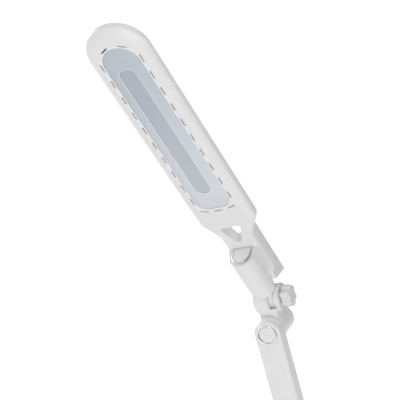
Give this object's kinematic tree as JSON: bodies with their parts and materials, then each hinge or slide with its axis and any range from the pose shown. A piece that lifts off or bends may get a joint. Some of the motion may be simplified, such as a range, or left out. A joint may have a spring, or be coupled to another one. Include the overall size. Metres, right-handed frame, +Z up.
{
  "type": "folding led desk lamp",
  "caption": "Folding desk lamp with a long flat light head on a roll and tilt neck, a flat swing arm, a swivel post and a round weighted base with a push button.",
  "frame": {"origin": "middle of the underside of the rubber foot pad, on the surface the lamp stands on", "axes": "+Z up, -Y to the front, where the power button is, +X to the right seen from the front"},
  "size_m": [0.3262, 0.2224, 0.7319],
  "materials": {
    "white_shell": "satin white moulded plastic",
    "white_knob": "satin white moulded plastic",
    "steel_weight": "plain steel plate",
    "plate_steel": "grey painted sheet",
    "rubber_pad": "grey rubber",
    "zinc": "zinc plated steel",
    "chrome_trim": "bright chrome",
    "washer_plastic": "grey acetal",
    "circuit_board": "green solder mask",
    "led_strip": "white coated aluminium board",
    "led_package": "yellow phosphor",
    "light_diffuser": "milky satin sheet",
    "light_panel": "milky satin sheet",
    "gland_rubber": "pale rubber",
    "reflector": "white reflector plastic"
  },
  "bodies": {
    "base": {"base_shell": "white_shell", "base_weight": "steel_weight", "base_plate": "plate_steel", "foot_pad": "rubber_pad", "base_screws": "zinc", "control_board": "circuit_board", "board_screws": "zinc", "cable_gland": "gland_rubber"},
    "button": {"power_button": "white_shell"},
    "post": {"post_housing": "white_shell", "swivel_washer": "zinc", "swivel_nut": "zinc", "lower_pivot_bolt": "zinc", "lower_pivot_nut": "zinc", "lower_friction_washer": "washer_plastic", "post_nut_cap": "white_shell"},
    "arm": {"arm_front_shell": "white_shell", "arm_back_shell": "white_shell", "arm_screws": "zinc", "lower_bolt_washer": "zinc", "upper_bolt_washer": "zinc", "lower_ring": "chrome_trim", "lower_cap": "white_shell", "upper_ring": "chrome_trim", "upper_cap": "white_shell"},
    "elbow": {"elbow_block": "white_shell", "upper_pivot_bolt": "zinc", "upper_pivot_nut": "zinc", "upper_friction_washer": "washer_plastic", "elbow_nut_cap": "white_shell", "tilt_bolt": "zinc", "tilt_washers": "washer_plastic"},
    "knob": {"tilt_knob": "white_knob"},
    "neck": {"neck_knuckle": "white_shell", "roll_washer": "zinc", "roll_screw": "zinc"},
    "head": {"head_front_shell": "white_shell", "head_back_shell": "white_shell", "diffuser": "light_diffuser", "centre_panel": "light_panel", "reflector_tray": "reflector", "led_board": "led_strip", "leds": "led_package", "head_screws": "zinc", "neck_trim_ring": "chrome_trim", "neck_end_cap": "white_shell"}
  },
  "joints": [
    {"name": "button_press", "type": "slide", "parent": "base", "child": "button", "axis": [0, 0, -1], "range_m": [0, 0.0008], "stiffness_N_per_m": 300, "springref_m": -0.001},
    {"name": "post_swivel", "type": "hinge", "parent": "base", "child": "post", "pos_m": [0, 0.024, 0], "axis": [0, 0, 1], "range_deg": [-90, 90]},
    {"name": "arm_swing", "type": "hinge", "parent": "post", "child": "arm", "pos_m": [0, 0.0115, 0.064], "axis": [0, -1, 0], "range_deg": [-96.7, 63.3]},
    {"name": "elbow_swing", "type": "hinge", "parent": "arm", "child": "elbow", "pos_m": [-0.10058, 0.0115, 0.39924], "axis": [0, -1, 0], "range_deg": [-90, 90]},
    {"name": "knob_turn", "type": "hinge", "parent": "elbow", "child": "knob", "pos_m": [-0.10939, 0.026, 0.42529], "axis": [0.9472, 0, 0.3206], "range_deg": [-90, 90]},
    {"name": "head_tilt", "type": "hinge", "parent": "elbow", "child": "neck", "pos_m": [-0.10939, 0.026, 0.42529], "axis": [0.9472, 0, 0.3206], "range_deg": [-58, 52]},
    {"name": "head_roll", "type": "hinge", "parent": "neck", "child": "head", "pos_m": [-0.10939, 0.026, 0.42529], "axis": [-0.2831, -0.4695, 0.8363], "range_deg": [-60, 60]}
  ]
}
